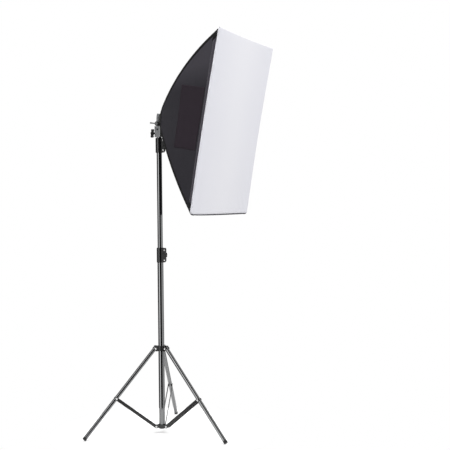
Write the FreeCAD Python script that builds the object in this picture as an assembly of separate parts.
import FreeCAD, Part
import os

# A photographic softbox on a folding light stand.
# Frame: +Z up, origin on the column's axis at floor level, the softbox faces -Y and tilts down.
# All sizes are in millimetres and all angles in degrees.

V = FreeCAD.Vector
ORIGIN = V(0, 0, 0)
AXIS_X = V(1, 0, 0)
AXIS_Y = V(0, 1, 0)
AXIS_Z = V(0, 0, 1)

# --- Stand: tripod -----------------------------------------------------------------------------
TUBE_WALL = 1.2
LEG_RADIUS = 8.0
LEG_AZIMUTHS = {"front": -100.9, "rear_left": 139.1, "right": 19.1}
FOOT_CIRCLE_RADIUS = 332.5      # column axis to the middle of a foot's end
FOOT_END_HEIGHT = 4.0           # middle of the foot's end above the floor
PIVOT_CIRCLE_RADIUS = 28.4      # column axis to the leg and strut pivots
LEG_COLLAR_HEIGHT = 351.8
SPIDER_HEIGHT = 27.7
STRUT_PLACE = 0.5538            # how far down the leg its strut is riveted, as a share of the leg
LEG_PAST_PIVOT = 6.0
FOOT_CAP_LENGTH = 12.0
FOOT_PLUG_LENGTH = 16.0
FOOT_CAP_RADIUS = 8.2
STRUT_WIDTH = 13.0
STRUT_THICKNESS = 1.2
SIDE_GAP = 0.3                  # between a leg and what stands either side of it
RUNNING_GAP = 0.05
SLIDING_GAP = 0.1
RIVET_RADIUS = 2.0
RIVET_HEAD_RADIUS = 4.2
RIVET_HEAD_HEIGHT = 1.5
LEG_COLLAR_BODY = 21.0
LEG_COLLAR_RADIUS = 16.2
SPIDER_BODY = 15.0
SPIDER_RADIUS = 15.6
EAR_THICKNESS = 3.6
EAR_RADIUS = 6.0
LEG_KNOB_AZIMUTH = 79.1
LEG_KNOB_RADIUS = 9.0
EAR_ROOT = 10.0                 # ears, lugs and bosses start inside their collar's wall
LEG_KNOB_SCREW_RADIUS = 3.0

# --- Stand: column -----------------------------------------------------------------------------
LOWER_TUBE_RADIUS = 12.5
MID_TUBE_RADIUS = 11.0
TOP_TUBE_RADIUS = 9.5
MID_TUBE_LENGTH = 640.0
TOP_TUBE_LENGTH = 620.0
COLLAR_HEIGHT = 62.0
COLLAR_RADIUS = 15.0
LOWER_COLLAR_MIDDLE = 739.0
UPPER_COLLAR_MIDDLE = 1194.0
FLANGE_REACH = 26.0             # column axis to the outer edge of a lock collar's split flange
FLANGE_HALF_WIDTH = 5.5
FLANGE_SPLIT = 1.6
FLANGE_NOTCH = 2.0
LOCK_SCREW_REACH = 19.5
COLLAR_RIVET_REACH = 22.0
COLLAR_RIVET_RISE = 21.0
SPIGOT_RADIUS = 7.9
SPIGOT_LENGTH = 20.0
SPIGOT_FLANGE = 2.5
SLOPE_HEIGHT = 3.0              # bevelled ends of a lock collar
SLOPE_DEPTH = 1.4
FLANGE_ROOT = 8.0
LOCK_KNOB_START = 12.0          # column axis to the wing knob's near face, clear of the sleeve as it turns
LOCK_KNOB_END = 17.0
LOCK_KNOB_HUB = 4.5
LOCK_KNOB_WING = 3.6
LOCK_KNOB_SPAN = 10.0
LOCK_SCREW_RADIUS = 2.5
THREAD_GAP = 0.05
BUSH_RING = 6.0
BUSH_PLUG = 15.0
BUSH_WALL = 2.5

# --- Bracket between stand and lamp ------------------------------------------------------------
RECEIVER_BOTTOM = 1228.0
RECEIVER_TOP = 1273.0
RECEIVER_HALF_WIDTH = 13.5
RECEIVER_HALF_DEPTH = 15.0
UMBRELLA_BORE_RADIUS = 4.2
UMBRELLA_BORE_HEIGHT = 1259.0
SPIGOT_SCREW_HEIGHT = 1245.0
TILT_HEIGHT = 1282.5
TILT_EYE_RADIUS = 8.5
TILT_EYE_HALF_WIDTH = 5.0
YOKE_EAR_INSIDE = 6.0
YOKE_HALF_WIDTH = 12.6
TILT_BOLT_RADIUS = 3.0
SPIGOT_KNOB_START = 27.0        # column axis to the wing knob's near face
SPIGOT_KNOB_END = 36.5
SPIGOT_KNOB_HUB = 7.5
SPIGOT_KNOB_WING = 5.4
SPIGOT_KNOB_SPAN = 18.0
SPIGOT_KNOB_TURN = 10.0         # how far the wings stand from upright
SPIGOT_LOCK_RADIUS = 4.0
UMBRELLA_SCREW_RADIUS = 2.5
WASHER_GAP = 0.3
TILT_NUT_RADIUS = 9.0
TILT_NUT_HEIGHT = 6.0
LEVER_HUB_RADIUS = 9.5
LEVER_REACH = 27.0
LEVER_RISE = 8.0                # turn of the lever above level
YOKE_RIB = 2.6
YOKE_TOP = 14.0                 # plate's top above the lamp's axis
YOKE_SCREW_RISE = 8.0
YOKE_SCREW_RADIUS = 1.5

# --- Softbox: measured level, then tilted about the line where its axis meets the column's -------
AXIS_HEIGHT = 1316.0
FACE_TILT = 10.55
FACE_WIDTH = 500.0
FACE_HEIGHT = 700.0
FACE_REACH = 349.2              # column axis to the front edge, along the softbox's axis
LAMP_DROP = 5.5                 # the lamp's axis is this far below the middle of the face
ROOT_HALF_WIDTH = 31.0          # the shell's corner curves start at a small rectangle at the back
ROOT_HALF_HEIGHT = 20.0
ROOT_REACH = 22.0
BOW_TOP = 26.0                  # how far a corner curve stands off its chord
BOW_BOTTOM = 11.5
REAR_EDGE_TOP = 0.03            # the fabric's rear edge, as shares of the corner curves
REAR_EDGE_BOTTOM = 0.07
REAR_BINDING = 0.018
HEM_START = 0.94
FABRIC = 1.2
HEM_THICKNESS = 2.0
SEAM_GAP = 0.2
DIFFUSER_THICKNESS = 2.0
DIFFUSER_MARGIN = 1.0
ROD_RADIUS = 2.0
ROD_INSET = 6.0                 # rod middle inside the shell's outer corner, both ways
ROD_TIP_LENGTH = 14.0
ROD_TIP_RADIUS = 2.8
ROD_START = 0.004               # the rods' ends and their tips' start, as shares of the corner curves
ROD_END = 0.972
ROD_TIP_START = 0.9722
HEM_END = 0.997
HEM_GAP = 0.0006
BINDING_GAP = 0.0008
BINDING_OUTSIDE = -0.8
BINDING_INSIDE = 0.6
OPEN_END_OVERRUN = 0.01         # a ring's hollow is cut this much longer, so that both ends stay open

# --- Lamp holder and bulb, along the lamp's axis --------------------------------------------------
COVER_BACK = 9.0
COVER_FRONT = 19.0
COVER_RADIUS = 18.5
HOLDER_FRONT = 60.0
HOLDER_RADIUS = 16.5
HOLDER_WALL = 1.8
HUB_BACK = 19.5
HUB_FRONT = 25.0
HUB_RING_RADIUS = 20.0
HUB_SOCKET_RADIUS = 3.0
HUB_SOCKET_DEPTH = 4.0
BULB_SCREW_RADIUS = 13.0
BULB_BACK = 34.0
BULB_SHOULDER = 61.0
BULB_WAIST = 96.0
BULB_RADIUS = 32.0
BULB_NECK_RADIUS = 14.5
COVER_WALL = 2.2
LEAD_OUTLET_RADIUS = 3.0
LEAD_RADIUS = 1.8               # bore of the cable gland


# --- Shared shapes -------------------------------------------------------------------------------
def rod(start, end, radius):
    """A round bar from one point to another."""
    return Part.makeCylinder(radius, (end - start).Length, start, end - start)


def pipe(start, end, outer, inner):
    """A round tube from one point to another."""
    return rod(start, end, outer).cut(rod(start, end, inner))


def block(low, high):
    """A box between two opposite corners."""
    size = high - low
    return Part.makeBox(size.x, size.y, size.z, low)


def centred_block(width, depth, bottom, top):
    """An upright box around the column's axis."""
    return block(V(-width / 2, -depth / 2, bottom), V(width / 2, depth / 2, top))


def joined(shapes):
    """One solid out of several that overlap."""
    return shapes[0].multiFuse(shapes[1:]).removeSplitter()


def apart(shapes):
    """Separate solids kept together in one node."""
    return Part.makeCompound(shapes)


def turned(shape, azimuth):
    """A shape built in the +X direction, turned about the column's axis."""
    copy = shape.copy()
    copy.rotate(ORIGIN, AXIS_Z, azimuth)
    return copy


def tilted(shape):
    """A shape of the level softbox, tilted down to its place."""
    copy = shape.copy()
    copy.rotate(V(0, 0, AXIS_HEIGHT), AXIS_X, FACE_TILT)
    return copy


def cross_rivet(point, half_width, head_radius=RIVET_HEAD_RADIUS, radius=RIVET_RADIUS):
    """A rivet along Y through a point, with a domed head either side."""
    outside = half_width + RUNNING_GAP
    pieces = [rod(point - AXIS_Y * (outside + 0.5), point + AXIS_Y * (outside + 0.5), radius)]
    for side in (-1, 1):
        base = point + AXIS_Y * side * outside
        tip = base + AXIS_Y * side * RIVET_HEAD_HEIGHT
        head = Part.makeCone(head_radius, head_radius * 0.6, RIVET_HEAD_HEIGHT, base, tip - base)
        pieces.append(head)
    return joined(pieces)


def scalloped_disc(start, end, radius, lobes):
    """A grip knob: a disc with round notches cut out of its rim."""
    along = end - start
    disc = rod(start, end, radius)
    across = V(0, 0, 1) if abs(along.z) < 0.5 * along.Length else V(1, 0, 0)
    notches = []
    for number in range(lobes):
        spoke = FreeCAD.Rotation(along, 360.0 * number / lobes).multVec(across)
        middle = start + spoke * radius * 1.12
        notches.append(rod(middle - along * 0.1, middle + along * 1.1, radius * 0.24))
    return disc.cut(Part.makeCompound(notches))


def wing_knob(start, end, hub_radius, wing_radius, span):
    """A wing knob: a round hub with a wing above and a wing below, each with a round end."""
    hub = rod(start, end, hub_radius)
    offset = AXIS_Z * (span - wing_radius)
    wings = [rod(start + offset, end + offset, wing_radius), rod(start - offset, end - offset, wing_radius)]
    along = end - start
    beside = along.cross(AXIS_Z)
    beside.normalize()
    half_web = beside * wing_radius * 0.62
    corners = [start - half_web - offset, start + half_web - offset,
               start + half_web + offset, start - half_web + offset, start - half_web - offset]
    web = Part.Face(Part.makePolygon(corners)).extrude(along)
    return joined([hub, web] + wings)


# --- Tripod ---------------------------------------------------------------------------------------
LEG_PIVOT = V(PIVOT_CIRCLE_RADIUS, 0, LEG_COLLAR_HEIGHT)
FOOT_END = V(FOOT_CIRCLE_RADIUS, 0, FOOT_END_HEIGHT)
LEG_LINE = FOOT_END - LEG_PIVOT
LEG_DIRECTION = V(LEG_LINE).normalize()
STRUT_LOW_PIVOT = V(PIVOT_CIRCLE_RADIUS, 0, SPIDER_HEIGHT)
STRUT_HIGH_PIVOT = LEG_PIVOT + LEG_LINE * STRUT_PLACE
STRUT_INSIDE = LEG_RADIUS + SIDE_GAP
STRUT_OUTSIDE = STRUT_INSIDE + STRUT_THICKNESS


def leg():
    """A leg tube, closed at its top, with a hole for the collar's rivet."""
    top = LEG_PIVOT - LEG_DIRECTION * LEG_PAST_PIVOT
    end = FOOT_END - LEG_DIRECTION * FOOT_CAP_LENGTH
    tube = rod(top, end, LEG_RADIUS)
    hollow = rod(top + LEG_DIRECTION * 3.0, end, LEG_RADIUS - TUBE_WALL)
    hole = rod(LEG_PIVOT - AXIS_Y * 20, LEG_PIVOT + AXIS_Y * 20, RIVET_RADIUS + RUNNING_GAP)
    crown = Part.makeSphere(LEG_RADIUS + 1.6, LEG_PIVOT)
    body = rod(LEG_PIVOT, end, LEG_RADIUS)
    rounded = body.fuse(tube.common(crown)).removeSplitter()
    return rounded.cut(hollow).cut(hole)


def foot():
    """The plastic plug in a leg's end, cut flat where it stands on the floor."""
    mouth = FOOT_END - LEG_DIRECTION * FOOT_CAP_LENGTH
    cap = rod(mouth, FOOT_END, FOOT_CAP_RADIUS)
    plug = rod(mouth - LEG_DIRECTION * FOOT_PLUG_LENGTH, mouth + LEG_DIRECTION, LEG_RADIUS - TUBE_WALL)
    floor = block(V(0, -50, -50), V(2 * FOOT_CIRCLE_RADIUS, 50, 0))
    return joined([cap, plug]).cut(floor)


def strut():
    """A pair of flat strips, one either side of the leg, with rounded and drilled ends."""
    run = STRUT_HIGH_PIVOT - STRUT_LOW_PIVOT
    across = V(-run.z, 0, run.x).normalize() * (STRUT_WIDTH / 2)
    outline = [STRUT_LOW_PIVOT + across, STRUT_HIGH_PIVOT + across,
               STRUT_HIGH_PIVOT - across, STRUT_LOW_PIVOT - across, STRUT_LOW_PIVOT + across]
    strips = []
    for start in (STRUT_INSIDE, -STRUT_OUTSIDE):
        flat = Part.Face(Part.makePolygon(outline))
        flat.translate(AXIS_Y * start)
        strip = flat.extrude(AXIS_Y * STRUT_THICKNESS)
        for pivot in (STRUT_LOW_PIVOT, STRUT_HIGH_PIVOT):
            near = V(pivot.x, start, pivot.z)
            strip = strip.fuse(rod(near, near + AXIS_Y * STRUT_THICKNESS, STRUT_WIDTH / 2))
        strip = strip.removeSplitter()
        for pivot in (STRUT_LOW_PIVOT, STRUT_HIGH_PIVOT):
            drill = rod(pivot - AXIS_Y * 20, pivot + AXIS_Y * 20, RIVET_RADIUS + RUNNING_GAP)
            strip = strip.cut(drill)
        strips.append(strip)
    return apart(strips)


def strut_rivet():
    """The two ends of the rivet between strut and leg, each held in its own strip."""
    ends = []
    for side in (-1, 1):
        inside = STRUT_HIGH_PIVOT + AXIS_Y * side * STRUT_INSIDE
        outside = STRUT_HIGH_PIVOT + AXIS_Y * side * (STRUT_OUTSIDE + RUNNING_GAP)
        shank = rod(inside, outside + AXIS_Y * side * 0.5, RIVET_RADIUS)
        head = Part.makeCone(RIVET_HEAD_RADIUS, RIVET_HEAD_RADIUS * 0.6, RIVET_HEAD_HEIGHT,
                             outside, AXIS_Y * side)
        ends.append(joined([shank, head]))
    return apart(ends)


def leg_collar():
    """The sliding collar on the lower tube, with a forked ear for each leg and a screw boss."""
    bottom = LEG_COLLAR_HEIGHT - LEG_COLLAR_BODY / 2
    top = LEG_COLLAR_HEIGHT + LEG_COLLAR_BODY / 2
    pieces = [rod(V(0, 0, bottom), V(0, 0, top), LEG_COLLAR_RADIUS)]
    for azimuth in LEG_AZIMUTHS.values():
        for inside in (STRUT_INSIDE, -STRUT_INSIDE - EAR_THICKNESS):
            plate = block(V(EAR_ROOT, inside, bottom), V(PIVOT_CIRCLE_RADIUS, inside + EAR_THICKNESS, top))
            centre = V(PIVOT_CIRCLE_RADIUS, inside, LEG_COLLAR_HEIGHT)
            nose = rod(centre, centre + AXIS_Y * EAR_THICKNESS, EAR_RADIUS)
            pieces.append(turned(joined([plate, nose]), azimuth))
    boss = rod(V(EAR_ROOT, 0, LEG_COLLAR_HEIGHT), V(24, 0, LEG_COLLAR_HEIGHT), 6.5)
    pieces.append(turned(boss, LEG_KNOB_AZIMUTH))
    bore = rod(V(0, 0, bottom - 1), V(0, 0, top + 1), LOWER_TUBE_RADIUS + SLIDING_GAP)
    body = joined(pieces).cut(bore)
    for azimuth in LEG_AZIMUTHS.values():
        drill = rod(LEG_PIVOT - AXIS_Y * 30, LEG_PIVOT + AXIS_Y * 30, RIVET_RADIUS)
        body = body.cut(turned(drill, azimuth))
    thread_radius = LEG_KNOB_SCREW_RADIUS + THREAD_GAP
    thread = rod(V(EAR_ROOT, 0, LEG_COLLAR_HEIGHT), V(30, 0, LEG_COLLAR_HEIGHT), thread_radius)
    return body.cut(turned(thread, LEG_KNOB_AZIMUTH))


def leg_collar_rivets():
    """The three rivets that the legs turn on."""
    half = STRUT_INSIDE + EAR_THICKNESS
    return apart([turned(cross_rivet(LEG_PIVOT, half), azimuth) for azimuth in LEG_AZIMUTHS.values()])


def leg_collar_knob():
    """The screw that locks the leg collar on its tube."""
    height = LEG_COLLAR_HEIGHT
    stem = rod(V(LOWER_TUBE_RADIUS + SLIDING_GAP, 0, height), V(28, 0, height), LEG_KNOB_SCREW_RADIUS)
    grip = scalloped_disc(V(25, 0, height), V(36, 0, height), LEG_KNOB_RADIUS, 6)
    return turned(joined([stem, grip]), LEG_KNOB_AZIMUTH)


def base_spider():
    """The fixed collar at the column's foot, with a lug for each strut."""
    bottom = SPIDER_HEIGHT - SPIDER_BODY / 2
    top = SPIDER_HEIGHT + SPIDER_BODY / 2
    pieces = [rod(V(0, 0, bottom), V(0, 0, top), SPIDER_RADIUS)]
    for azimuth in LEG_AZIMUTHS.values():
        lug = block(V(EAR_ROOT, -LEG_RADIUS, SPIDER_HEIGHT - EAR_RADIUS),
                    V(PIVOT_CIRCLE_RADIUS, LEG_RADIUS, SPIDER_HEIGHT + EAR_RADIUS))
        nose = rod(STRUT_LOW_PIVOT - AXIS_Y * LEG_RADIUS, STRUT_LOW_PIVOT + AXIS_Y * LEG_RADIUS, EAR_RADIUS)
        pieces.append(turned(joined([lug, nose]), azimuth))
    body = joined(pieces)
    for azimuth in LEG_AZIMUTHS.values():
        drill = rod(STRUT_LOW_PIVOT - AXIS_Y * 20, STRUT_LOW_PIVOT + AXIS_Y * 20, RIVET_RADIUS)
        body = body.cut(turned(drill, azimuth))
    return body.cut(rod(V(0, 0, bottom - 1), V(0, 0, top + 1), LOWER_TUBE_RADIUS))


def spider_rivets():
    """The three rivets that the struts turn on."""
    rivet = cross_rivet(STRUT_LOW_PIVOT, STRUT_OUTSIDE)
    return [turned(rivet, azimuth) for azimuth in LEG_AZIMUTHS.values()]


# --- Column ----------------------------------------------------------------------------------------
LOWER_TUBE_BOTTOM = SPIDER_HEIGHT - SPIDER_BODY / 2
TOP_TUBE_TOP = UPPER_COLLAR_MIDDLE + COLLAR_HEIGHT / 2


def column_lower_tube():
    """The widest tube, from the spider up into the lower lock collar."""
    bottom = V(0, 0, LOWER_TUBE_BOTTOM)
    return pipe(bottom, V(0, 0, LOWER_COLLAR_MIDDLE), LOWER_TUBE_RADIUS, LOWER_TUBE_RADIUS - TUBE_WALL)


def column_foot_plug():
    """The plug that closes the column's lower end."""
    rim = rod(V(0, 0, LOWER_TUBE_BOTTOM - 3), V(0, 0, LOWER_TUBE_BOTTOM), LOWER_TUBE_RADIUS)
    stem_radius = LOWER_TUBE_RADIUS - TUBE_WALL
    stem = rod(V(0, 0, LOWER_TUBE_BOTTOM - 1), V(0, 0, LOWER_TUBE_BOTTOM + 14), stem_radius)
    return joined([rim, stem])


def sliding_tube(radius, top, length):
    """One of the two tubes that slide out of the tube below."""
    return pipe(V(0, 0, top - length), V(0, 0, top), radius, radius - TUBE_WALL)


def tube_bush(radius, outer_radius, bottom):
    """The plastic ring and plug at a sliding tube's lower end, which guides it in the next tube."""
    ring = rod(V(0, 0, bottom - BUSH_RING), V(0, 0, bottom), outer_radius - TUBE_WALL - SLIDING_GAP)
    plug = rod(V(0, 0, bottom - 1), V(0, 0, bottom + BUSH_PLUG), radius - TUBE_WALL)
    hole_radius = radius - TUBE_WALL - BUSH_WALL
    hole = rod(V(0, 0, bottom - BUSH_RING - 1), V(0, 0, bottom + BUSH_PLUG + 1), hole_radius)
    return joined([ring, plug]).cut(hole)


def lock_collar(middle, lower_radius, upper_radius):
    """A lock collar: a sleeve over two tubes with a split flange that its knob pulls together."""
    bottom = middle - COLLAR_HEIGHT / 2
    top = middle + COLLAR_HEIGHT / 2
    sleeve = rod(V(0, 0, bottom + SLOPE_HEIGHT), V(0, 0, top - SLOPE_HEIGHT), COLLAR_RADIUS)
    for height, inward in ((bottom, AXIS_Z), (top, -AXIS_Z)):
        end_radius = COLLAR_RADIUS - SLOPE_DEPTH
        slope = Part.makeCone(end_radius, COLLAR_RADIUS, SLOPE_HEIGHT, V(0, 0, height), inward)
        sleeve = sleeve.fuse(slope)
    outline = [V(0, -FLANGE_ROOT, bottom + 1), V(0, -FLANGE_REACH + 5, bottom + 1),
               V(0, -FLANGE_REACH, bottom + 7), V(0, -FLANGE_REACH, middle - 13),
               V(0, -FLANGE_REACH + FLANGE_NOTCH, middle - 9),
               V(0, -FLANGE_REACH + FLANGE_NOTCH, middle + 9), V(0, -FLANGE_REACH, middle + 13),
               V(0, -FLANGE_REACH, top - 5), V(0, -FLANGE_REACH + 3, top - 1), V(0, -FLANGE_ROOT, top - 1),
               V(0, -FLANGE_ROOT, bottom + 1)]
    face = Part.Face(Part.makePolygon(outline))
    face.translate(-AXIS_X * FLANGE_HALF_WIDTH)
    flange = face.extrude(AXIS_X * 2 * FLANGE_HALF_WIDTH)
    body = joined([sleeve, flange])
    split = block(V(-FLANGE_SPLIT / 2, -FLANGE_REACH - 1, bottom - 1), V(FLANGE_SPLIT / 2, 0, top + 1))
    body = body.cut(split)
    body = body.cut(rod(V(0, 0, bottom - 1), V(0, 0, middle), lower_radius))
    body = body.cut(rod(V(0, 0, middle - 1), V(0, 0, top + 1), upper_radius + SLIDING_GAP))
    for rise in (-COLLAR_RIVET_RISE, COLLAR_RIVET_RISE):
        centre = V(0, -COLLAR_RIVET_REACH, middle + rise)
        body = body.cut(rod(centre - AXIS_X * 20, centre + AXIS_X * 20, RIVET_RADIUS))
    centre = V(0, -LOCK_SCREW_REACH, middle)
    return body.cut(rod(centre - AXIS_X * 4, centre + AXIS_X * 20, LOCK_SCREW_RADIUS + THREAD_GAP))


def collar_rivets(middle):
    """The two rivets across a lock collar's flange."""
    rivets = []
    for rise in (-COLLAR_RIVET_RISE, COLLAR_RIVET_RISE):
        rivet = cross_rivet(V(0, 0, 0), FLANGE_HALF_WIDTH, head_radius=3.2)
        rivet.rotate(ORIGIN, AXIS_Z, 90)
        rivet.translate(V(0, -COLLAR_RIVET_REACH, middle + rise))
        rivets.append(rivet)
    return rivets


def lock_knob(middle):
    """The wing knob that clamps a lock collar, on the flange's +X side."""
    axis = V(0, -LOCK_SCREW_REACH, middle)
    stem = rod(axis - AXIS_X * 3, axis + AXIS_X * (LOCK_KNOB_START + 1), LOCK_SCREW_RADIUS)
    near = axis + AXIS_X * LOCK_KNOB_START
    boss = rod(axis + AXIS_X * (FLANGE_HALF_WIDTH + 1.5), near + AXIS_X, LOCK_KNOB_HUB)
    grip = wing_knob(near, axis + AXIS_X * LOCK_KNOB_END, LOCK_KNOB_HUB, LOCK_KNOB_WING, LOCK_KNOB_SPAN)
    return joined([stem, boss, grip])


def stand_spigot():
    """The steel stud on top of the column, with the groove that the lock screw bites in."""
    plug = rod(V(0, 0, TOP_TUBE_TOP - 18), V(0, 0, TOP_TUBE_TOP + 0.5), TOP_TUBE_RADIUS - TUBE_WALL)
    flange = rod(V(0, 0, TOP_TUBE_TOP), V(0, 0, TOP_TUBE_TOP + SPIGOT_FLANGE), TOP_TUBE_RADIUS)
    stud_top = TOP_TUBE_TOP + SPIGOT_FLANGE + SPIGOT_LENGTH
    stud = rod(V(0, 0, TOP_TUBE_TOP + 2), V(0, 0, stud_top), SPIGOT_RADIUS)
    groove_low = V(0, 0, SPIGOT_SCREW_HEIGHT - 4)
    groove_high = V(0, 0, SPIGOT_SCREW_HEIGHT + 1.5)
    groove = pipe(groove_low, groove_high, 12, SPIGOT_RADIUS - 1.2)
    return joined([plug, flange, stud]).cut(groove)


# --- Bracket ---------------------------------------------------------------------------------------
TILT_POINT = V(0, 0, TILT_HEIGHT)


def stand_receiver():
    """The die-cast block that sits on the spigot, with the tilt eye and an umbrella bore."""
    body = centred_block(2 * RECEIVER_HALF_WIDTH, 2 * RECEIVER_HALF_DEPTH, RECEIVER_BOTTOM, RECEIVER_TOP)
    upright = [edge for edge in body.Edges if abs(edge.tangentAt(edge.FirstParameter).z) > 0.9]
    body = body.makeFillet(4.0, upright)
    neck = centred_block(2 * TILT_EYE_HALF_WIDTH, 2 * TILT_EYE_RADIUS, RECEIVER_TOP - 1, TILT_HEIGHT)
    half = AXIS_X * TILT_EYE_HALF_WIDTH
    eye = rod(TILT_POINT - half, TILT_POINT + half, TILT_EYE_RADIUS)
    shape = joined([body, neck, eye])
    socket_top = TOP_TUBE_TOP + SPIGOT_FLANGE + SPIGOT_LENGTH + 1
    shape = shape.cut(rod(V(0, 0, RECEIVER_BOTTOM - 1), V(0, 0, socket_top), SPIGOT_RADIUS + RUNNING_GAP))
    shape = shape.cut(rod(TILT_POINT - AXIS_X * 20, TILT_POINT + AXIS_X * 20, TILT_BOLT_RADIUS))
    umbrella = V(0, 0, UMBRELLA_BORE_HEIGHT)
    shape = shape.cut(rod(umbrella - AXIS_X * 20, umbrella + AXIS_X * 20, UMBRELLA_BORE_RADIUS))
    lock = V(0, 0, SPIGOT_SCREW_HEIGHT)
    shape = shape.cut(rod(lock, lock + AXIS_Y * 20, SPIGOT_LOCK_RADIUS + THREAD_GAP))
    return shape.cut(rod(umbrella, umbrella - AXIS_Y * 20, UMBRELLA_SCREW_RADIUS + THREAD_GAP))


def spigot_lock_knob():
    """The wing knob behind the block, whose screw holds the block on the spigot."""
    centre = V(0, 0, SPIGOT_SCREW_HEIGHT)
    near = centre + AXIS_Y * SPIGOT_KNOB_START
    far = centre + AXIS_Y * SPIGOT_KNOB_END
    stem = rod(centre + AXIS_Y * (SPIGOT_RADIUS + WASHER_GAP), near + AXIS_Y, SPIGOT_LOCK_RADIUS)
    boss = rod(centre + AXIS_Y * (RECEIVER_HALF_DEPTH + 0.5), centre + AXIS_Y * 18.5, 6.5)
    grip = wing_knob(near, far, SPIGOT_KNOB_HUB, SPIGOT_KNOB_WING, SPIGOT_KNOB_SPAN)
    grip.rotate(centre, AXIS_Y, SPIGOT_KNOB_TURN)
    return joined([stem, boss, grip])


def umbrella_screw():
    """The small thumb screw in front of the block, which would hold an umbrella's shaft."""
    centre = V(0, 0, UMBRELLA_BORE_HEIGHT)
    stem_start = centre - AXIS_Y * (UMBRELLA_BORE_RADIUS + WASHER_GAP)
    stem = rod(stem_start, centre - AXIS_Y * 20, UMBRELLA_SCREW_RADIUS)
    front = centre - AXIS_Y * (RECEIVER_HALF_DEPTH + 0.5)
    grip = scalloped_disc(front, front - AXIS_Y * 7, 7.5, 8)
    return joined([stem, grip])


def tilt_bolt():
    """The bolt that the head tilts on."""
    return rod(TILT_POINT - AXIS_X * 17, TILT_POINT + AXIS_X * 17, TILT_BOLT_RADIUS)


def tilt_nut():
    """The round nut on the tilt bolt's far end."""
    inner = TILT_POINT + AXIS_X * (YOKE_HALF_WIDTH + WASHER_GAP)
    return pipe(inner, inner + AXIS_X * TILT_NUT_HEIGHT, TILT_NUT_RADIUS, TILT_BOLT_RADIUS)


def tilt_lever_hub():
    """The round plastic hub of the clamping lever."""
    inner = TILT_POINT - AXIS_X * (YOKE_HALF_WIDTH + WASHER_GAP)
    return pipe(inner, inner - AXIS_X * TILT_NUT_HEIGHT, LEVER_HUB_RADIUS, TILT_BOLT_RADIUS + RUNNING_GAP)


def tilt_lever():
    """The clamping lever's flat handle, pointing back."""
    side = -YOKE_HALF_WIDTH - 6.5
    low = V(side - 2.6, -6, TILT_HEIGHT - 2.5)
    blade = block(low, V(side, LEVER_REACH, TILT_HEIGHT + 2.5))
    tip = rod(V(side - 2.6, LEVER_REACH, TILT_HEIGHT), V(side, LEVER_REACH, TILT_HEIGHT), 3.4)
    boss = rod(V(side - 2.6, 0, TILT_HEIGHT), V(side, 0, TILT_HEIGHT), 6.0)
    lever = joined([blade, tip, boss])
    lever.rotate(TILT_POINT, AXIS_X, LEVER_RISE)
    return lever


# --- Softbox, level: x across, reach forward (-Y), rise up from the axis ------------------------------
def level(x, reach, rise):
    """A point of the level softbox."""
    return V(x, -reach, AXIS_HEIGHT + rise)


def back_tilted(point):
    """Where a point of the finished frame lies in the level softbox."""
    turn = FreeCAD.Rotation(AXIS_X, -FACE_TILT)
    centre = V(0, 0, AXIS_HEIGHT)
    return centre + turn.multVec(point - centre)


def corner_curve(side, rise, inset_x, inset_z):
    """The bowed line along one corner of the shell, from its root at the back to the face."""
    root_rise = rise * (ROOT_HALF_HEIGHT - inset_z) - LAMP_DROP
    root = level(side * (ROOT_HALF_WIDTH - inset_x), ROOT_REACH, root_rise)
    front = level(side * (FACE_WIDTH / 2 - inset_x), FACE_REACH, rise * (FACE_HEIGHT / 2 - inset_z))
    chord = V(front - root).normalize()
    outward = V(side * FACE_WIDTH, 0, rise * FACE_HEIGHT)
    outward = (outward - chord * outward.dot(chord)).normalize()
    bow = BOW_TOP if rise > 0 else BOW_BOTTOM
    return Part.Arc(root, (root + front) / 2 + outward * bow, front)


def corner_point(side, rise, share, inset_x=0.0, inset_z=0.0):
    """The point at a share of the way along a corner curve."""
    curve = corner_curve(side, rise, inset_x, inset_z)
    return curve.value(curve.FirstParameter + share * (curve.LastParameter - curve.FirstParameter))


def corner_edge(side, rise, start, end, inset_x, inset_z):
    """A stretch of a corner curve."""
    shares = (start, (start + end) / 2, end)
    return Part.Arc(*[corner_point(side, rise, share, inset_x, inset_z) for share in shares]).toShape()


def rear_edge(rise):
    return REAR_EDGE_TOP if rise > 0 else REAR_EDGE_BOTTOM


def shell_panel(corners, across_x):
    """A fabric panel of the shell, ruled between two neighbouring corner curves."""
    skins = []
    for depth in (0.0, FABRIC):
        inset_x = depth + (SEAM_GAP if across_x else 0.0)
        inset_z = depth + (0.0 if across_x else SEAM_GAP)
        skins.append([corner_edge(side, rise, rear_edge(rise), HEM_START, inset_x, inset_z)
                      for side, rise in corners])
    outer, inner = skins
    faces = [Part.makeRuledSurface(outer[0], outer[1]), Part.makeRuledSurface(inner[0], inner[1]),
             Part.makeRuledSurface(outer[0], inner[0]), Part.makeRuledSurface(outer[1], inner[1])]
    for end in (0, 1):
        rims = [Part.makeLine(outer[n].Vertexes[end].Point, inner[n].Vertexes[end].Point) for n in (0, 1)]
        faces.append(Part.makeRuledSurface(rims[0], rims[1]))
    return solid_of(faces)


def solid_of(faces):
    """The solid that a closed set of faces bounds."""
    shell = Part.makeShell(faces)
    shell.sewShape()
    solid = Part.makeSolid(shell)
    if solid.Volume < 0:
        solid.reverse()
    return solid


def shell_ring(start, end, outside, inside):
    """A four-sided ring of the shell, between two shares of the corner curves (top, bottom)."""
    solids = []
    for inset, beyond in ((outside, 0.0), (inside, OPEN_END_OVERRUN)):
        wires = []
        for shares, further in ((start, -beyond), (end, beyond)):
            points = []
            for side, rise in ((-1, 1), (1, 1), (1, -1), (-1, -1)):
                share = shares[0] if rise > 0 else shares[1]
                points.append(corner_point(side, rise, share + further, inset, inset))
            wires.append(Part.makePolygon(points + points[:1]))
        solids.append(Part.makeLoft(wires, True, True))
    return solids[0].cut(solids[1])


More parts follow.
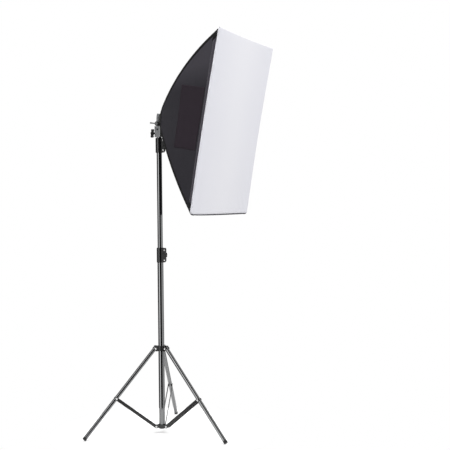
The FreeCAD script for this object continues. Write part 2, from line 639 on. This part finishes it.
def front_hem():
    """The doubled strip round the shell's front edge, which the diffuser fastens to."""
    return shell_ring((HEM_START + HEM_GAP,) * 2, (HEM_END, HEM_END), 0.0, HEM_THICKNESS)


def rear_binding():
    """The bound edge round the shell's opening at the lamp."""
    start = (REAR_EDGE_TOP - REAR_BINDING, REAR_EDGE_BOTTOM - REAR_BINDING)
    end = (REAR_EDGE_TOP - BINDING_GAP, REAR_EDGE_BOTTOM - BINDING_GAP)
    return shell_ring(start, end, BINDING_OUTSIDE, BINDING_INSIDE)


def diffuser():
    """The white front cloth, stretched flat over the hem."""
    half_width = FACE_WIDTH / 2 - DIFFUSER_MARGIN
    half_height = FACE_HEIGHT / 2 - DIFFUSER_MARGIN
    back = FACE_REACH - 0.6
    return block(level(-half_width, back + DIFFUSER_THICKNESS, -half_height),
                 level(half_width, back, half_height))


def shell_rod(side, rise):
    """A sprung rod in a corner of the shell, from the hub to the face."""
    edge = corner_edge(side, rise, ROD_START, ROD_END, ROD_INSET, ROD_INSET)
    start = edge.valueAt(edge.FirstParameter)
    tangent = edge.tangentAt(edge.FirstParameter)
    profile = Part.Wire(Part.makeCircle(ROD_RADIUS, start, tangent))
    return Part.Wire(edge).makePipeShell([profile], True, True)


def rod_tips():
    """The caps on the rods' front ends, which sit in the hem's corner pockets."""
    tips = []
    for side in (-1, 1):
        for rise in (-1, 1):
            end = corner_point(side, rise, ROD_TIP_START, ROD_INSET, ROD_INSET)
            before = corner_point(side, rise, 0.95, ROD_INSET, ROD_INSET)
            along = V(end - before).normalize()
            tips.append(rod(end, end + along * (ROD_TIP_LENGTH / 2), ROD_TIP_RADIUS))
    return apart(tips)


# --- Lamp ---------------------------------------------------------------------------------------------
def lamp_point(reach):
    """A point on the lamp's axis."""
    return level(0, reach, -LAMP_DROP)


def rod_hub():
    """The moulded ring round the lamp holder, with a socket for each rod."""
    pieces = [rod(lamp_point(HUB_BACK), lamp_point(HUB_FRONT), HUB_RING_RADIUS)]
    bores = [rod(lamp_point(HUB_BACK - 1), lamp_point(HUB_FRONT + 1), HOLDER_RADIUS + RUNNING_GAP)]
    for side in (-1, 1):
        for rise in (-1, 1):
            root = corner_point(side, rise, ROD_START, ROD_INSET, ROD_INSET)
            further = corner_point(side, rise, 0.02, ROD_INSET, ROD_INSET)
            along = V(further - root).normalize()
            pieces.append(rod(root - along * 5, root + along * HUB_SOCKET_DEPTH, HUB_SOCKET_RADIUS))
            spoke_end = V(root.x, lamp_point(HUB_BACK + 3).y, root.z)
            pieces.append(rod(lamp_point(HUB_BACK + 3), spoke_end, 2.8))
            bores.append(rod(root - along, root + along * 20, ROD_RADIUS + SLIDING_GAP))
    return joined(pieces).cut(Part.makeCompound(bores))


def lamp_holder_cover():
    """The cup behind the lamp holder, where the mains lead is wired."""
    cup = rod(lamp_point(COVER_BACK), lamp_point(COVER_FRONT), COVER_RADIUS)
    cup = cup.makeFillet(2.5, [edge for edge in cup.Edges if edge.BoundBox.YLength < 0.1
                               and edge.BoundBox.YMax > lamp_point(COVER_BACK).y - 0.1])
    cup = cup.cut(rod(lamp_point(COVER_BACK + 2.5), lamp_point(COVER_FRONT + 1), COVER_RADIUS - COVER_WALL))
    for rise in (-YOKE_SCREW_RISE, YOKE_SCREW_RISE):
        point = lamp_point(COVER_BACK) + AXIS_Z * rise
        cup = cup.cut(rod(point + AXIS_Y, point - AXIS_Y * 4, YOKE_SCREW_RADIUS))
    outlet = lamp_point((COVER_BACK + COVER_FRONT) / 2)
    return cup.cut(rod(outlet, outlet + AXIS_X * 25, LEAD_OUTLET_RADIUS))


def lamp_holder_body():
    """The round holder that carries the bulb socket and the rod hub."""
    barrel = rod(lamp_point(COVER_FRONT), lamp_point(HOLDER_FRONT), HOLDER_RADIUS)
    spigot = rod(lamp_point(COVER_FRONT - 4), lamp_point(COVER_FRONT + 1), COVER_RADIUS - 2.4)
    collar = rod(lamp_point(HUB_FRONT + 1), lamp_point(HUB_FRONT + 4), HOLDER_RADIUS + 1.5)
    hollow = rod(lamp_point(COVER_FRONT + 4), lamp_point(HOLDER_FRONT + 1), HOLDER_RADIUS - HOLDER_WALL)
    lead = rod(lamp_point(COVER_FRONT - 5), lamp_point(COVER_FRONT + 5), 4.0)
    return joined([barrel, spigot, collar]).cut(hollow).cut(lead)


def cable_gland():
    """The strain relief in the cover's +X side, where the mains lead comes out."""
    outlet = lamp_point((COVER_BACK + COVER_FRONT) / 2)
    stem_radius = LEAD_OUTLET_RADIUS - RUNNING_GAP
    stem_start = outlet + AXIS_X * (COVER_RADIUS - COVER_WALL)
    stem = rod(stem_start, outlet + AXIS_X * (COVER_RADIUS + 2), stem_radius)
    nut = rod(outlet + AXIS_X * (COVER_RADIUS + 0.3), outlet + AXIS_X * (COVER_RADIUS + 6), 5.0)
    nose = Part.makeCone(4.2, 3.0, 7, outlet + AXIS_X * (COVER_RADIUS + 6), AXIS_X)
    bore = rod(outlet, outlet + AXIS_X * 40, LEAD_RADIUS)
    return joined([stem, nut, nose]).cut(bore)


def socket_insulator():
    """The white porcelain cup inside the holder."""
    back = COVER_FRONT + 4.2
    cup = rod(lamp_point(back), lamp_point(HOLDER_FRONT - 1), HOLDER_RADIUS - HOLDER_WALL - SLIDING_GAP)
    return cup.cut(rod(lamp_point(back + 4), lamp_point(HOLDER_FRONT), BULB_SCREW_RADIUS + 1.1))


def socket_shell():
    """The brass screw shell that the bulb's cap turns in."""
    outer = BULB_SCREW_RADIUS + 1.0
    return pipe(lamp_point(32), lamp_point(HOLDER_FRONT - 4), outer, BULB_SCREW_RADIUS + 0.3)


def socket_contact():
    """The sprung strip at the bottom of the socket."""
    back = COVER_FRONT + 8.4
    foot_plate = rod(lamp_point(back), lamp_point(back + 1.2), 6.0)
    button = rod(lamp_point(back + 1), lamp_point(BULB_BACK - 1.6), 2.6)
    return joined([foot_plate, button])


def bulb_cap():
    """The bulb's screw cap with its centre contact."""
    screw = rod(lamp_point(BULB_BACK), lamp_point(BULB_SHOULDER), BULB_SCREW_RADIUS)
    contact = Part.makeCone(4.5, 9.0, 1.4, lamp_point(BULB_BACK - 1.4), -AXIS_Y)
    return joined([screw, contact])


def bulb_housing():
    """The bulb's ballast housing, which widens from the cap to the globe."""
    neck = lamp_point(BULB_SHOULDER + 0.1)
    length = BULB_WAIST - BULB_SHOULDER - 0.2
    return Part.makeCone(BULB_NECK_RADIUS, BULB_RADIUS - 3, length, neck, -AXIS_Y)


def bulb_globe():
    """The frosted globe."""
    centre = lamp_point(BULB_WAIST + 18)
    ball = Part.makeSphere(BULB_RADIUS, centre)
    keep = rod(lamp_point(BULB_WAIST), lamp_point(BULB_WAIST + 100), 60)
    return ball.common(keep)


def tilt_yoke():
    """The die-cast arm from the tilt bolt up the back of the lamp holder."""
    pivot = back_tilted(TILT_POINT)
    plate_back = pivot.y + 1.5
    plate_front = lamp_point(COVER_BACK - 0.1).y
    plate = block(V(-YOKE_HALF_WIDTH, plate_front, pivot.z + TILT_EYE_RADIUS + 1.4),
                  V(YOKE_HALF_WIDTH, plate_back, lamp_point(0).z + YOKE_TOP))
    pieces = [plate]
    for side in (-1, 1):
        inside = V(side * YOKE_EAR_INSIDE, pivot.y, pivot.z)
        outside = V(side * YOKE_HALF_WIDTH, pivot.y, pivot.z)
        pieces.append(rod(inside, outside, TILT_EYE_RADIUS))
        low_x, high_x = sorted((inside.x, outside.x))
        ear_top = V(high_x, pivot.y + TILT_EYE_RADIUS - 1.5, pivot.z + 16)
        pieces.append(block(V(low_x, plate_front, pivot.z), ear_top))
        rib = [V(0, plate_back - 0.5, pivot.z + 12), V(0, pivot.y + TILT_EYE_RADIUS - 1.5, pivot.z + 12),
               V(0, pivot.y + 9.5, pivot.z + 30), V(0, pivot.y + 8.5, lamp_point(0).z + YOKE_TOP),
               V(0, plate_back - 0.5, lamp_point(0).z + YOKE_TOP), V(0, plate_back - 0.5, pivot.z + 12)]
        face = Part.Face(Part.makePolygon(rib))
        face.translate(AXIS_X * (YOKE_HALF_WIDTH if side > 0 else YOKE_RIB - YOKE_HALF_WIDTH))
        pieces.append(face.extrude(-AXIS_X * YOKE_RIB))
    yoke = joined(pieces)
    yoke = yoke.cut(rod(pivot - AXIS_X * 20, pivot + AXIS_X * 20, TILT_BOLT_RADIUS + RUNNING_GAP))
    for rise in (-YOKE_SCREW_RISE, YOKE_SCREW_RISE):
        point = lamp_point(COVER_BACK) + AXIS_Z * rise
        yoke = yoke.cut(rod(point - AXIS_Y, point + AXIS_Y * 20, YOKE_SCREW_RADIUS + SLIDING_GAP))
    return yoke


def yoke_screws():
    """The two screws that fix the lamp holder to the yoke."""
    screws = []
    seat = back_tilted(TILT_POINT).y + 1.6
    for rise in (-YOKE_SCREW_RISE, YOKE_SCREW_RISE):
        point = lamp_point(COVER_BACK) + AXIS_Z * rise
        head_base = V(0, seat, point.z)
        shank = rod(point - AXIS_Y * 2, head_base + AXIS_Y * 0.5, YOKE_SCREW_RADIUS)
        head = rod(head_base, head_base + AXIS_Y * 2.0, 3.0)
        screws.append(joined([shank, head]))
    return apart(screws)


# --- Writing the parts --------------------------------------------------------------------------------
def save(name, shape):
    shape.exportStep(f"parts/{name}.step")


def save_tripod():
    for name, azimuth in LEG_AZIMUTHS.items():
        save(f"leg_{name}", turned(leg(), azimuth))
        save(f"foot_{name}", turned(foot(), azimuth))
        save(f"strut_{name}", turned(strut(), azimuth))
        save(f"strut_rivet_{name}", turned(strut_rivet(), azimuth))
    save("leg_collar", leg_collar())
    save("leg_collar_rivets", leg_collar_rivets())
    save("leg_collar_knob", leg_collar_knob())
    save("base_spider", base_spider())


def save_column():
    save("column_lower_tube", column_lower_tube())
    save("column_foot_plug", column_foot_plug())
    mid_bottom = UPPER_COLLAR_MIDDLE - MID_TUBE_LENGTH
    top_bottom = TOP_TUBE_TOP - TOP_TUBE_LENGTH
    save("column_mid_tube", sliding_tube(MID_TUBE_RADIUS, UPPER_COLLAR_MIDDLE, MID_TUBE_LENGTH))
    save("column_top_tube", sliding_tube(TOP_TUBE_RADIUS, TOP_TUBE_TOP, TOP_TUBE_LENGTH))
    save("mid_tube_bush", tube_bush(MID_TUBE_RADIUS, LOWER_TUBE_RADIUS, mid_bottom))
    save("top_tube_bush", tube_bush(TOP_TUBE_RADIUS, MID_TUBE_RADIUS, top_bottom))
    save("lock_collar_lower", lock_collar(LOWER_COLLAR_MIDDLE, LOWER_TUBE_RADIUS, MID_TUBE_RADIUS))
    save("lock_collar_upper", lock_collar(UPPER_COLLAR_MIDDLE, MID_TUBE_RADIUS, TOP_TUBE_RADIUS))
    save("rivets_lower", apart(spider_rivets() + collar_rivets(LOWER_COLLAR_MIDDLE)))
    save("rivets_upper", apart(collar_rivets(UPPER_COLLAR_MIDDLE)))
    save("lock_knob_lower", lock_knob(LOWER_COLLAR_MIDDLE))
    save("lock_knob_upper", lock_knob(UPPER_COLLAR_MIDDLE))
    save("stand_spigot", stand_spigot())


def save_bracket():
    save("stand_receiver", stand_receiver())
    save("spigot_lock_knob", spigot_lock_knob())
    save("umbrella_screw", umbrella_screw())
    save("tilt_bolt", tilt_bolt())
    save("tilt_nut", tilt_nut())
    save("tilt_lever_hub", tilt_lever_hub())
    save("tilt_lever", tilt_lever())


def save_head():
    panels = {"left": ([(-1, 1), (-1, -1)], False), "right": ([(1, 1), (1, -1)], False),
              "top": ([(-1, 1), (1, 1)], True), "bottom": ([(-1, -1), (1, -1)], True)}
    for name, (corners, across_x) in panels.items():
        save(f"shell_{name}", tilted(shell_panel(corners, across_x)))
    for rise_name, rise in (("top", 1), ("bottom", -1)):
        for side_name, side in (("left", -1), ("right", 1)):
            save(f"rod_{rise_name}_{side_name}", tilted(shell_rod(side, rise)))
    makers = (front_hem, rear_binding, diffuser, rod_tips, rod_hub, lamp_holder_cover, lamp_holder_body,
              cable_gland, socket_insulator, socket_shell, socket_contact, bulb_cap, bulb_housing,
              bulb_globe, tilt_yoke, yoke_screws)
    for maker in makers:
        save(maker.__name__, tilted(maker()))


os.makedirs("parts", exist_ok=True)
save_tripod()
save_column()
save_bracket()
save_head()
